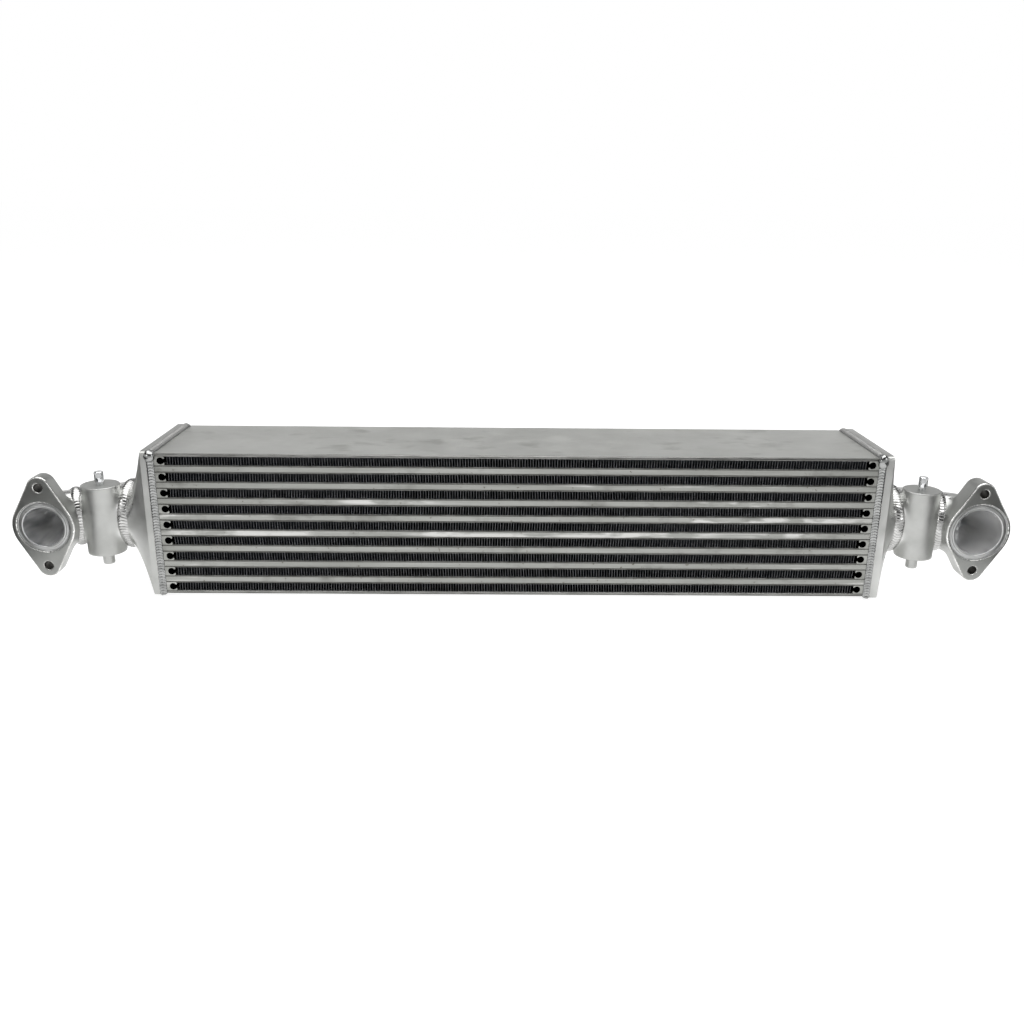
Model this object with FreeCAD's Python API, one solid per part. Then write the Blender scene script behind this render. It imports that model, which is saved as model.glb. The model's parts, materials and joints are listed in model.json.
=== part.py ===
import FreeCAD, Part
import math
import os
from collections import namedtuple

from FreeCAD import Vector

# Bar-and-plate charge-air intercooler, welded from aluminium.
# X runs along the core, Y from the front face to the back one, and Z points up.
# The ports face the front. The origin is the centre of the core's underside.
# All lengths are in millimetres and all angles in degrees.

# Core stack
CORE_LENGTH = 686.0
CORE_DEPTH = 117.0
AMBIENT_ROWS = 9
AMBIENT_HEIGHT = 8.5
CHARGE_HEIGHT = 6.3
SHEET_THICKNESS = 0.5
PLATE_THICKNESS = 3.0
CHARGE_BAR_WIDTH = 8.0

# End bars of the ambient rows, with a round channel that opens towards the fins
END_BAR_WIDTH = 11.7
KEYHOLE_INSET = 8.0
KEYHOLE_RADIUS = 3.4
KEYHOLE_SLOT = 3.4
ARM_CHAMFER = 1.2

# Corrugated fins: the pitch is opened out to keep the model light
FIN_PITCH = 30.0
FIN_GAUGE = 0.4
FIN_TO_END_BAR = 1.4
TURBULATOR_PITCH = 20.0
TURBULATOR_GAUGE = 0.5

# End tanks
TANK_LAP = 1.8
TANK_WALL = 3.0
TANK_CORNER = 4.0
TANK_INNER_CORNER = 1.0
SHOULDER_RUN = 0.37
SHOULDER_DRAW_IN = 0.57
SHOULDER_CORNER = 24.0
NECK_RADIUS = 32.0
NECK_SET_BACK = 37.5
NECK_FLAT = 1.0

# Mount body: a vertical post across the duct, with a locating pin at each end
POST_RADIUS = 17.8
POST_HEIGHT = 67.6
POST_RISE = 1.6
POST_SET_BACK = 16.0
NECK_TO_POST = 21.5
DUCT_RUN_ON = 12.0
TOP_PIN_RADIUS = 4.3
TOP_PIN_LENGTH = 12.8
TOP_PIN_SHANK_RADIUS = 3.0
TOP_PIN_SEAT = 9.0
BOTTOM_PIN_RADIUS = 5.5
BOTTOM_PIN_LENGTH = 12.8

# Port elbow with its two-bolt flange
FLANGE_PROUD = 9.5
BOLT_SPACING = 76.9
BOLT_HOLE_RADIUS = 4.2
LUG_RADIUS = 10.8
PORT_LIP = 2.5
SEAL_GROOVE_WIDTH = 2.9
SEAL_GROOVE_DEPTH = 1.6
PORT_STRAIGHT = 6.0
PORT_BEND_RADIUS = 34.0
BEND_STEPS = 5
BORE_STEPS = 2

# Sides of each long rounded form, and how many of them bend round one corner
ROUND_SIDES = 24
CORNER_STEPS = ROUND_SIDES // 4

# Weld beads
TANK_BEAD_WIDTH = 7.0
TANK_BEAD_PROUD = 2.0
TANK_BEAD_ON_CORE = 2.0
TANK_BEAD_CROWN = 3.0

# What differs between the two ends
LEFT_SKIRT = 10.5
LEFT_NECK_RUN = 25.5
LEFT_PORT_REACH = 47.5
LEFT_BEND_ANGLE = 66.0
LEFT_BORE_RADIUS = 19.0
LEFT_PORT_WALL = 7.5
LEFT_SEAL_LAND = 4.5
LEFT_FLANGE_THICKNESS = 17.0
RIGHT_SKIRT = 12.0
RIGHT_NECK_RUN = 16.0
RIGHT_PORT_REACH = 49.0
RIGHT_BEND_ANGLE = 80.0
RIGHT_BORE_RADIUS = 22.6
RIGHT_PORT_WALL = 6.0
RIGHT_SEAL_LAND = 2.3
RIGHT_FLANGE_THICKNESS = 22.0
End = namedtuple(
    "End",
    "name side skirt neck_run port_reach bend_angle bore_radius port_wall seal_land flange_thickness",
)
ENDS = [
    End(
        "left",
        side=-1,
        skirt=LEFT_SKIRT,
        neck_run=LEFT_NECK_RUN,
        port_reach=LEFT_PORT_REACH,
        bend_angle=LEFT_BEND_ANGLE,
        bore_radius=LEFT_BORE_RADIUS,
        port_wall=LEFT_PORT_WALL,
        seal_land=LEFT_SEAL_LAND,
        flange_thickness=LEFT_FLANGE_THICKNESS,
    ),
    End(
        "right",
        side=1,
        skirt=RIGHT_SKIRT,
        neck_run=RIGHT_NECK_RUN,
        port_reach=RIGHT_PORT_REACH,
        bend_angle=RIGHT_BEND_ANGLE,
        bore_radius=RIGHT_BORE_RADIUS,
        port_wall=RIGHT_PORT_WALL,
        seal_land=RIGHT_SEAL_LAND,
        flange_thickness=RIGHT_FLANGE_THICKNESS,
    ),
]

# Sizes that follow from the ones above
CHARGE_ROWS = AMBIENT_ROWS - 1
ROW_PITCH = AMBIENT_HEIGHT + CHARGE_HEIGHT + 2 * SHEET_THICKNESS
CORE_HEIGHT = 2 * PLATE_THICKNESS + AMBIENT_HEIGHT + CHARGE_ROWS * ROW_PITCH
HALF_LENGTH = CORE_LENGTH / 2
HALF_DEPTH = CORE_DEPTH / 2
MID_HEIGHT = CORE_HEIGHT / 2
NECK_Y = NECK_SET_BACK - HALF_DEPTH
POST_Y = POST_SET_BACK - HALF_DEPTH
FLANGE_Y = -FLANGE_PROUD - HALF_DEPTH
FULL_TURN = 360.0
QUARTER_TURN = FULL_TURN / 4
UP = Vector(0, 0, 1)
ALONG = Vector(1, 0, 0)
BACK = Vector(0, 1, 0)


def save(name, solids):
    """Write one named sub-part, made of one solid or of several alike."""
    shape = solids[0] if len(solids) == 1 else Part.makeCompound(solids)
    shape.exportStep("parts/%s.step" % name)


def block(x_range, y_range, z_range):
    """A rectangular block between the given limits."""
    low = Vector(x_range[0], y_range[0], z_range[0])
    high = Vector(x_range[1], y_range[1], z_range[1])
    size = high - low
    return Part.makeBox(size.x, size.y, size.z, low)


def to_left(shape):
    """The mirror image on the other side of the core's middle."""
    return shape.mirror(Vector(0, 0, 0), ALONG)


def on_side(end, shape):
    """A shape of the right-hand side, put on its own end of the core."""
    return to_left(shape) if end.side < 0 else shape


def arc(start, through, end):
    """The edge of the arc through three points."""
    return Part.Arc(start, through, end).toShape()


def line(start, end):
    """A straight edge."""
    return Part.LineSegment(start, end).toShape()


def ambient_bottom(row):
    """The height at which an ambient row starts, row 0 being the lowest."""
    return PLATE_THICKNESS + row * ROW_PITCH


def wave_outline(start, end, pitch, height, gauge):
    """Outline of a folded sheet whose crests reach from 0 to height, as pairs of values."""
    folds = 2 * max(1, round((end - start) / pitch))
    step = (end - start) / folds
    thick = gauge * math.hypot(step, height) / step
    upper = []
    lower = []
    for fold in range(folds + 1):
        along = start + fold * step
        top = height if fold % 2 == 0 else thick
        upper.append((along, top))
        lower.append((along, top - thick))
    return upper + lower[::-1]


def make_ambient_fin(row):
    """Fin of one ambient row: folds follow each other along X, and air passes along Y."""
    reach = HALF_LENGTH - END_BAR_WIDTH - FIN_TO_END_BAR
    base = ambient_bottom(row)
    outline = wave_outline(-reach, reach, FIN_PITCH, AMBIENT_HEIGHT, FIN_GAUGE)
    points = [Vector(x, -HALF_DEPTH, base + z) for x, z in outline]
    face = Part.Face(Part.makePolygon(points + points[:1]))
    return face.extrude(BACK * CORE_DEPTH)


def make_turbulator(row):
    """Turbulator of one charge row: folds follow each other along Y, and air passes along X."""
    reach = HALF_DEPTH - CHARGE_BAR_WIDTH
    base = ambient_bottom(row) + AMBIENT_HEIGHT + SHEET_THICKNESS
    outline = wave_outline(-reach, reach, TURBULATOR_PITCH, CHARGE_HEIGHT, TURBULATOR_GAUGE)
    points = [Vector(-HALF_LENGTH, y, base + z) for y, z in outline]
    face = Part.Face(Part.makePolygon(points + points[:1]))
    return face.extrude(ALONG * CORE_LENGTH)


def make_end_bar(row):
    """Right-hand end bar of one ambient row, a C section that runs from front to back."""
    middle = ambient_bottom(row) + AMBIENT_HEIGHT / 2
    half = AMBIENT_HEIGHT / 2
    slot = KEYHOLE_SLOT / 2
    tip = HALF_LENGTH - END_BAR_WIDTH
    hole = HALF_LENGTH - KEYHOLE_INSET
    mouth = hole - math.sqrt(KEYHOLE_RADIUS**2 - slot**2)

    def at(x, z):
        return Vector(x, -HALF_DEPTH, middle + z)

    upper_arm = [
        at(mouth, slot),
        at(tip, slot),
        at(tip, half - ARM_CHAMFER),
        at(tip + ARM_CHAMFER, half),
        at(HALF_LENGTH, half),
    ]
    lower_arm = [
        at(HALF_LENGTH, -half),
        at(tip + ARM_CHAMFER, -half),
        at(tip, -half + ARM_CHAMFER),
        at(tip, -slot),
        at(mouth, -slot),
    ]
    outline = upper_arm + lower_arm
    edges = [line(start, stop) for start, stop in zip(outline, outline[1:])]
    edges.append(arc(outline[-1], at(hole + KEYHOLE_RADIUS, 0), outline[0]))
    return Part.Face(Part.Wire(edges)).extrude(BACK * CORE_DEPTH)


def make_charge_bars(row):
    """Front and back bars that close one charge row, the full length of the core."""
    base = ambient_bottom(row) + AMBIENT_HEIGHT + SHEET_THICKNESS
    heights = (base, base + CHARGE_HEIGHT)
    length = (-HALF_LENGTH, HALF_LENGTH)
    front = block(length, (-HALF_DEPTH, -HALF_DEPTH + CHARGE_BAR_WIDTH), heights)
    rear = block(length, (HALF_DEPTH - CHARGE_BAR_WIDTH, HALF_DEPTH), heights)
    return [front, rear]


def make_parting_sheets(row):
    """The two sheets that part one charge row from the ambient rows under and over it."""
    under = ambient_bottom(row) + AMBIENT_HEIGHT
    over = under + SHEET_THICKNESS + CHARGE_HEIGHT
    length = (-HALF_LENGTH, HALF_LENGTH)
    depth = (-HALF_DEPTH, HALF_DEPTH)
    return [block(length, depth, (base, base + SHEET_THICKNESS)) for base in (under, over)]


def core_form():
    """The core as one filled form, with its upper and lower end edges bevelled for the weld."""
    bevel = TANK_BEAD_ON_CORE
    outline = [
        (HALF_LENGTH - bevel, 0),
        (HALF_LENGTH, bevel),
        (HALF_LENGTH, CORE_HEIGHT - bevel),
        (HALF_LENGTH - bevel, CORE_HEIGHT),
    ]
    outline += [(-x, z) for x, z in reversed(outline)]
    points = [Vector(x, -HALF_DEPTH, z) for x, z in outline]
    return Part.Face(Part.makePolygon(points + points[:1])).extrude(BACK * CORE_DEPTH)


def make_plate(base):
    """Plain end plate of the core, bevelled along both ends."""
    length = (-HALF_LENGTH, HALF_LENGTH)
    depth = (-HALF_DEPTH, HALF_DEPTH)
    return block(length, depth, (base, base + PLATE_THICKNESS)).common(core_form())


def joined(outlines):
    """The solid whose skin joins each outline to the next, point by point, with flat faces."""
    loops = [outlines[0], outlines[-1]]
    for near, far in zip(outlines, outlines[1:]):
        for spot, point in enumerate(near):
            loops.append([near[spot - 1], point, far[spot], far[spot - 1]])
    faces = [Part.Face(Part.makePolygon(loop + loop[:1])) for loop in loops]
    return Part.makeSolid(Part.makeShell(faces))


def ring(centre, level, radius):
    """Points of an upright circle that is level along the given direction."""
    points = []
    for side in range(ROUND_SIDES):
        angle = math.radians(FULL_TURN * side / ROUND_SIDES)
        points.append(centre + (level * math.cos(angle) + UP * math.sin(angle)) * radius)
    return points


def rounded_outline(x, half_y, half_z, corner, centre_y):
    """Points of a rounded rectangle across X, about the height of the core's middle."""
    points = []
    for quarter, (side_y, side_z) in enumerate([(1, 1), (-1, 1), (-1, -1), (1, -1)]):
        corner_y = centre_y + side_y * (half_y - corner)
        corner_z = MID_HEIGHT + side_z * (half_z - corner)
        for step in range(CORNER_STEPS + 1):
            angle = math.radians(QUARTER_TURN * (quarter + step / CORNER_STEPS))
            y = corner_y + corner * math.cos(angle)
            z = corner_z + corner * math.sin(angle)
            points.append(Vector(x, y, z))
    return points


def tank_form(end, wall):
    """A tank's filled form, drawn in all round by the given wall thickness."""
    rim_x = HALF_LENGTH + end.skirt
    neck_x = rim_x + end.neck_run
    half_y = HALF_DEPTH + TANK_LAP - wall
    half_z = MID_HEIGHT + TANK_LAP - wall
    corner = max(TANK_CORNER - wall, TANK_INNER_CORNER)
    neck = NECK_RADIUS - wall
    shoulder_x = rim_x + end.neck_run * SHOULDER_RUN
    shoulder_y = half_y + (neck - half_y) * SHOULDER_DRAW_IN
    shoulder_z = half_z + (neck - half_z) * SHOULDER_DRAW_IN
    shoulder_centre = NECK_Y * SHOULDER_DRAW_IN
    outlines = [
        rounded_outline(HALF_LENGTH, half_y, half_z, corner, 0),
        rounded_outline(rim_x, half_y, half_z, corner, 0),
        rounded_outline(shoulder_x, shoulder_y, shoulder_z, SHOULDER_CORNER, shoulder_centre),
        rounded_outline(neck_x, neck, neck, neck - NECK_FLAT / 2, NECK_Y),
    ]
    return joined(outlines)


class Layout:
    """Where the pieces of one end stand, worked out for the right-hand side."""

    def __init__(self, end):
        self.rim_x = HALF_LENGTH + end.skirt
        self.neck = Vector(self.rim_x + end.neck_run, NECK_Y, MID_HEIGHT)
        self.post = Vector(self.neck.x + NECK_TO_POST, POST_Y, MID_HEIGHT + POST_RISE)
        self.port = Vector(self.post.x + end.port_reach, FLANGE_Y, MID_HEIGHT)
        self.bend_start = self.port + BACK * PORT_STRAIGHT
        self.bend_centre = self.bend_start - ALONG * PORT_BEND_RADIUS
        self.turn = math.radians(end.bend_angle)
        self.spoke = Vector(math.cos(self.turn), math.sin(self.turn), 0)
        self.seam = self.bend_centre + self.spoke * PORT_BEND_RADIUS
        self.pipe_radius = end.bore_radius + end.port_wall
        self.face_radius = end.bore_radius + PORT_LIP + SEAL_GROOVE_WIDTH + end.seal_land


def duct_taper(place, neck_radius, seam_radius):
    """The taper from a tank's neck to the port elbow's seam, run on past both."""
    axis = place.seam - place.neck
    ahead = axis / axis.Length
    run_on = ahead * DUCT_RUN_ON
    widening = (seam_radius - neck_radius) * DUCT_RUN_ON / axis.Length
    level = ahead.cross(UP)
    return joined(
        [
            ring(place.neck - run_on, level, neck_radius - widening),
            ring(place.seam + run_on, level, seam_radius + widening),
        ]
    )


def duct_space(place):
    """All the room between the plane of a tank's neck and that of the port elbow's seam."""
    reach = 2 * NECK_RADIUS
    corners = [
        place.neck - BACK * reach,
        place.neck + BACK * reach,
        place.seam + place.spoke * reach,
        place.seam - place.spoke * reach,
    ]
    below = [corner - UP * reach for corner in corners]
    return Part.Face(Part.makePolygon(below + below[:1])).extrude(UP * 2 * reach)


def make_tank(end):
    """Hollow hopper between the core's end and the duct."""
    return tank_form(end, 0).cut(tank_form(end, TANK_WALL))


def make_mount_body(end, place):
    """Post and duct in one piece, bored through, with the lower locating pin."""
    foot = place.post - UP * (POST_HEIGHT / 2)
    post = Part.makeCylinder(POST_RADIUS, POST_HEIGHT, foot, UP)
    low_pin = Part.makeCylinder(BOTTOM_PIN_RADIUS, BOTTOM_PIN_LENGTH, foot, -UP)
    duct = duct_taper(place, NECK_RADIUS, place.pipe_radius)
    body = duct.fuse([post, low_pin]).common(duct_space(place))
    flow = duct_taper(place, NECK_RADIUS - TANK_WALL, end.bore_radius)
    head = place.post + UP * (POST_HEIGHT / 2)
    return body.cut([flow, Part.makeCylinder(TOP_PIN_SHANK_RADIUS, TOP_PIN_SEAT, head, -UP)])


def make_top_pin(place):
    """Locating pin that stands on the post, its thinner shank pressed into it."""
    head = place.post + UP * (POST_HEIGHT / 2)
    shank = Part.makeCylinder(TOP_PIN_SHANK_RADIUS, TOP_PIN_SEAT, head, -UP)
    return shank.fuse(Part.makeCylinder(TOP_PIN_RADIUS, TOP_PIN_LENGTH, head, UP))


def flange_outline(place):
    """Two-lug outline: straight flanks, tangent to the round middle and to both lugs."""
    reach = BOLT_SPACING / 2
    lean = math.asin((place.face_radius - LUG_RADIUS) / reach)

    def at(x, z):
        return Vector(place.port.x + x, place.port.y, place.port.z + z)

    def on_middle(side, up):
        return at(side * place.face_radius * math.cos(lean), up * place.face_radius * math.sin(lean))

    def on_lug(side, up):
        return at(side * LUG_RADIUS * math.cos(lean), up * (reach + LUG_RADIUS * math.sin(lean)))

    return Part.Wire(
        [
            arc(on_middle(1, -1), at(place.face_radius, 0), on_middle(1, 1)),
            line(on_middle(1, 1), on_lug(1, 1)),
            arc(on_lug(1, 1), at(0, reach + LUG_RADIUS), on_lug(-1, 1)),
            line(on_lug(-1, 1), on_middle(-1, 1)),
            arc(on_middle(-1, 1), at(-place.face_radius, 0), on_middle(-1, -1)),
            line(on_middle(-1, -1), on_lug(-1, -1)),
            arc(on_lug(-1, -1), at(0, -reach - LUG_RADIUS), on_lug(1, -1)),
            line(on_lug(1, -1), on_middle(1, -1)),
        ]
    )


def bend_form(place, radius, steps):
    """Filled pipe round the port's bend to its seam, in straight steps."""
    rings = []
    for step in range(steps + 1):
        turn = place.turn * step / steps
        spoke = ALONG * math.cos(turn) + BACK * math.sin(turn)
        rings.append(ring(place.bend_centre + spoke * PORT_BEND_RADIUS, spoke, radius))
    return joined(rings)


def make_port_elbow(end, place):
    """Cast elbow and flange in one piece, with its bore, bolt holes and seal groove."""
    plate = Part.Face(flange_outline(place)).extrude(BACK * end.flange_thickness)
    body = plate.fuse(bend_form(place, place.pipe_radius, BEND_STEPS))
    groove_inner = end.bore_radius + PORT_LIP
    groove = Part.makeCylinder(groove_inner + SEAL_GROOVE_WIDTH, SEAL_GROOVE_DEPTH, place.port, BACK)
    groove = groove.cut(Part.makeCylinder(groove_inner, SEAL_GROOVE_DEPTH, place.port, BACK))
    port = Part.makeCylinder(end.bore_radius, PORT_STRAIGHT, place.port, BACK)
    cuts = [port, bend_form(place, end.bore_radius, BORE_STEPS), groove]
    for up in (-1, 1):
        centre = place.port + UP * (up * BOLT_SPACING / 2)
        cuts.append(Part.makeCylinder(BOLT_HOLE_RADIUS, end.flange_thickness, centre, BACK))
    return body.cut(cuts)


def make_tank_bead():
    """Weld bead all round the joint between the core and a tank's edge, down into the bevels."""
    inner = HALF_LENGTH - TANK_BEAD_ON_CORE
    outer = inner + TANK_BEAD_WIDTH
    front = -HALF_DEPTH
    root = front + TANK_BEAD_ON_CORE
    lap = front - TANK_LAP
    middle = (inner + outer) / 2
    crest = lap - TANK_BEAD_PROUD
    section = Part.makePolygon(
        [
            Vector(outer, lap, MID_HEIGHT),
            Vector(HALF_LENGTH, lap, MID_HEIGHT),
            Vector(HALF_LENGTH, root, MID_HEIGHT),
            Vector(inner, front, MID_HEIGHT),
            Vector(middle - TANK_BEAD_CROWN / 2, crest, MID_HEIGHT),
            Vector(middle + TANK_BEAD_CROWN / 2, crest, MID_HEIGHT),
            Vector(outer, lap, MID_HEIGHT),
        ]
    )
    path = Part.makePolygon(
        [
            Vector(HALF_LENGTH, front, MID_HEIGHT),
            Vector(HALF_LENGTH, front, CORE_HEIGHT),
            Vector(HALF_LENGTH, HALF_DEPTH, CORE_HEIGHT),
            Vector(HALF_LENGTH, HALF_DEPTH, 0),
            Vector(HALF_LENGTH, front, 0),
            Vector(HALF_LENGTH, front, MID_HEIGHT),
        ]
    )
    sweep = Part.BRepOffsetAPI.MakePipeShell(path)
    sweep.setTransitionMode(1)
    sweep.add(section)
    sweep.build()
    sweep.makeSolid()
    return sweep.shape().cut(core_form())


def build_core():
    """Write every piece of the brazed core."""
    save("bottom_plate", make_plate(0).Solids)
    save("top_plate", make_plate(CORE_HEIGHT - PLATE_THICKNESS).Solids)
    for row in range(AMBIENT_ROWS):
        end_bar = make_end_bar(row)
        save("ambient_fin_%d" % (row + 1), [make_ambient_fin(row)])
        save("end_bars_%d" % (row + 1), [to_left(end_bar), end_bar])
    for row in range(CHARGE_ROWS):
        save("charge_bars_%d" % (row + 1), make_charge_bars(row))
        save("parting_sheets_%d" % (row + 1), make_parting_sheets(row))
        save("turbulator_%d" % (row + 1), [make_turbulator(row)])


def build_end(end, place):
    """Write every piece that is welded to one end of the core."""
    pieces = {
        "tank": make_tank(end),
        "tank_weld": make_tank_bead(),
        "mount_body": make_mount_body(end, place),
        "port_elbow": make_port_elbow(end, place),
    }
    for name, shape in pieces.items():
        save("%s_%s" % (end.name, name), on_side(end, shape).Solids)


os.makedirs("parts", exist_ok=True)
build_core()
places = [Layout(end) for end in ENDS]
for end, place in zip(ENDS, places):
    build_end(end, place)
save("top_pins", [on_side(end, make_top_pin(place)) for end, place in zip(ENDS, places)])
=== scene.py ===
import json
import math
import random

import bmesh
import bpy
import numpy as np
from mathutils import Matrix, Vector


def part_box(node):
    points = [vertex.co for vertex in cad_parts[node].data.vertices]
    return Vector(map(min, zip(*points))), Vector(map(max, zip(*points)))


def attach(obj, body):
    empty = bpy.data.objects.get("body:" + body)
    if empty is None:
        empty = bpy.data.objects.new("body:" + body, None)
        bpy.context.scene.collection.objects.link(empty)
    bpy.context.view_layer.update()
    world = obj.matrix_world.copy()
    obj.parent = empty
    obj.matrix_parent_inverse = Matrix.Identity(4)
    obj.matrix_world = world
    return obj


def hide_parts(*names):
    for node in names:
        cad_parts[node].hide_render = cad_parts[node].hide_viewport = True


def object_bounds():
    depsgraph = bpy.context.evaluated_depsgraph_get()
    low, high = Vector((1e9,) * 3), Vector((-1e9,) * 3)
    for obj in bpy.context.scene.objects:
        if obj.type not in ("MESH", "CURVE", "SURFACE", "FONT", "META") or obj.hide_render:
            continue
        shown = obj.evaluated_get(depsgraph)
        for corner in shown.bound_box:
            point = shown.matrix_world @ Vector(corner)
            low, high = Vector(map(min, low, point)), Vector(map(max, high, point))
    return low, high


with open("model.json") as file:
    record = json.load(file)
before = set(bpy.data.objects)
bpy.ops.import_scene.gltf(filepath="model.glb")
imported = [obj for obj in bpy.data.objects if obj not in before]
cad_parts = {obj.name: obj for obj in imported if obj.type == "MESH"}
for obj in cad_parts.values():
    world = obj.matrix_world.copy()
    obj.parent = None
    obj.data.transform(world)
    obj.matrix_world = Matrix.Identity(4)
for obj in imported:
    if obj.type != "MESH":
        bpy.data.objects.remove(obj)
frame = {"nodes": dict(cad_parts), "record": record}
cad_low, cad_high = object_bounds()

# Millimetres are used for the object's sizes, and one of them is this many metres.
MM = 0.001

# The photograph's camera: place in metres, angles in degrees, focal length in pixels
CAMERA_PLACE = Vector((-0.01963, -0.93579, 0.37058))
CAMERA_TILT_DOWN = 17.997
CAMERA_YAW_RIGHT = 0.918
CAMERA_ROLL = 0.636
CAMERA_FOCAL_PIXELS = 965.9
FRAME_PIXELS = 1024
SENSOR_WIDTH = 36.0

# Fins
FIN_PERIOD = 5.08
FIN_GAUGE = 0.22
FIN_RECESS = 0.6
FIN_TURN_RUN = 0.45
FIN_TURN_RISE = 0.7
FIN_TURN_GAP = 0.12
FIN_SLANT = 0.35
FIN_SLANT_WAVE = 0.045
FIN_UNEVENNESS = 0.11
FIN_DRIFT = 0.06
FIN_DRIFT_KEPT = 0.85

# End bars: a C section with rounded tips round a keyhole
END_BAR_WIDTH = 11.7
KEYHOLE_INSET = 8.0
KEYHOLE_RADIUS = 3.4
KEYHOLE_SLOT = 3.4
BAR_TIP_RADIUS = 1.1
KEYHOLE_POINTS = 28
BAR_TIP_POINTS = 5
END_BAR_EDGE = 0.45

# Edge rounding of flat stock
PLATE_EDGE = 0.7
BAR_EDGE = 0.7

# Long bars with the most bright streaks, counted from the bottom
BRIGHT_STREAK_ROWS = (4, 5)

# Tanks
TANK_WALL = 3.0
TANK_LAP = 1.8
TANK_CORNER = 4.0
TANK_NECK_RADIUS = 32.0
TANK_NECK_Y = -21.0
TANK_CURVES = {"left": 1.75, "right": 2.4}
TANK_CORNER_CURVES = {"left": 1.0, "right": 0.66}
SKIRTS = {"left": 10.5, "right": 12.0}
SKIRT_FOLD = 0.6
TANK_STEPS = 26
TANK_STEP_CROWDING = 1.3
TANK_ARC_STEPS = 8
TANK_SIDE_STEPS = 10
TANK_LEAST_CORNER = 1.0

# Mount bodies and port elbows
POST_RADIUS = 17.8
POST_TO_NECK = 21.5
POST_HALF_HEIGHT = 33.8
FILLET = 4.5
MACHINED_EDGE = 0.7
SEAM_EDGE = 0.5
BORE_EDGE = 0.7
NECK_UNDERSIZE = 0.4
SEAM_UNDERSIZE = 0.3
LOW_PIN_EDGE = 1.4
LOW_PIN_FILLET = 1.2
LOW_PIN_ROOT = 5
FLANGES = {"left": 17.0, "right": 22.0}
FLANGE_CHAMFER = 0.8
FLANGE_BACK_EDGE = 2.2
FACE_EDGE = 0.3
FLANGE_FILLET = 5.0
LUG_RADIUS = 10.8
PORT_LIP = 2.5
GROOVE_WIDTH = 2.9
GROOVE_DEPTH = 1.6
PORT_STRAIGHT = 6.0
BEND_RADIUS = 34.0
BEND_ANGLES = {"left": 66.0, "right": 80.0}
PORT_WALLS = {"left": 7.5, "right": 6.0}
SEAL_LANDS = {"left": 4.5, "right": 2.3}

# Sizes of the mesh on the cast pieces, and the room round them
MOUNT_MESH = 0.8
ELBOW_MESH = 0.7
MESH_ROOM = 2.1

# Top pins: relieved foot and bevelled tip
PIN_SIDES = 48
PIN_SHANK = 1.0
PIN_RELIEF = 0.9
PIN_STEP = 0.25
PIN_FOOT = (1.4, 2.1, 2.5)
PIN_BEVEL = 1.0
PIN_TIP = 0.45

# Weld beads: ripples are crescents; their tones are painted shade in the grooves between ripples, along
# the bead's sides and at its roots, and tones of 1 are the darkest
RIPPLE = 2.8
RIPPLE_SAMPLES = 10
RIPPLE_DEPTH = 0.5
RIPPLE_CURVE = 0.9
RIPPLE_RISE = 1.6
RIPPLE_CREST = 0.86
RIPPLE_TAPER = 0.6
RIPPLE_UNEVENNESS = 0.2
RIPPLE_WANDER = 0.12
WANDER_SHARE = 0.3
WIDTH_UNEVENNESS = 0.05
EDGE_SCALLOP = 0.05
CROWN_FLATNESS = 2.4
CROWN_FULLNESS = 0.8
BEAD_DIP = 0.15
BEAD_ROOT_WIDTH = 0.9
BEAD_ROOT_DEPTH = 0.5
BEAD_FOOT_DEPTH = 0.4
BEAD_COLUMNS = 13
GROOVE_SHADE_REACH = 0.13
GROOVE_SHADE_TONE = 0.62
RIM_SHADE_START = 0.84
RIM_SHADE_TONE = 0.8
TONE_UNEVENNESS = 0.25
TANK_BEAD_WIDTH = 7.0
TANK_BEAD_LAP = 2.0
TANK_BEAD_PROUD = 1.75
TANK_BEAD_CORNER = 3.4
TANK_BEAD_SINK = 1.2
TOP_GROOVE_KEPT = 0.4
TOP_START = 4
TOP_FADE = 3
ROUND_BEAD_WIDTH = 11.6
ROUND_BEAD_PROUD = 2.7
ROUND_BEAD_SINK = 0.35
SEAM_BEAD_SHIFT = 1.5

# Lump of metal at the top front corner of each long bead
LUMPS = {"left": (5.4, 4.4, 5.4), "right": (5.0, 4.2, 7.0)}
LUMP_SETBACK = 2.5
LUMP_SPREAD = 2.6
LUMP_WIDENING = 0.3
LUMP_RAISING = 0.5
LUMP_SMOOTHING = 0.8
# LUMP_BRIGHTENING is the share of painted groove shade taken off where the bead runs into the lump
LUMP_BRIGHTENING = 0.9
LUMP_PROUD = 0.8
LUMP_DROP = 0.4
LUMP_WAVES = 6
LUMP_WAVE_REACH = 2.5
LUMP_SWELL = 0.035

# How far from a weld the cast metal is brushed and brightened, and how far from the duct's middle height
# the brightening starts and fades in: a painted highlight on the duct's upper and lower sides
POLISH_AND_HIGHLIGHT_REACH = 14.0
HIGHLIGHT_START = 4
HIGHLIGHT_FADE = 10

# Dim studio walls and strips, in metres, that show only in reflections
WALL_REACH = 2.4
WALL_TOP = 4.4
WALL_FADE_LOW = 0.8
WALL_FADE_HIGH = 1.4
WALL_LOW_TONE = 0.7
WALL_HIGH_TONE = 0.06
WALL_SIDES = 48
STRIP_START = 0.52
STRIP_HALF_DEPTH = 1.2
STRIP_TONE = 0.08

# Studio floor and surroundings
FLOOR_REACH = 30.0
FLOOR_TONE = 0.88
FLOOR_GLOW = 1.4
FLOOR_GLOW_SHARE = 0.6
WORLD_LIGHT = 0.45
WORLD_WHITE = 1.0

# Soft lamps: place and target in metres, size in metres, power in watts
OVERHEAD = ((0, 0.25, 1.9), (0, 0.25, 0), (2.6, 2.5), 40)
LEFT_FILL = ((-1.1, -1.07, 0.83), (0.4, 0, 0.07), (0.45, 0.45), 2)
RIGHT_FILL = ((1.1, -1.07, 0.83), (-0.4, 0, 0.07), (0.45, 0.45), 2)

FULL_TURN = 2 * math.pi


def box_mm(node):
    """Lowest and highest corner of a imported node, in millimetres."""
    low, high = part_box(node)
    return np.array(low) / MM, np.array(high) / MM


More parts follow.
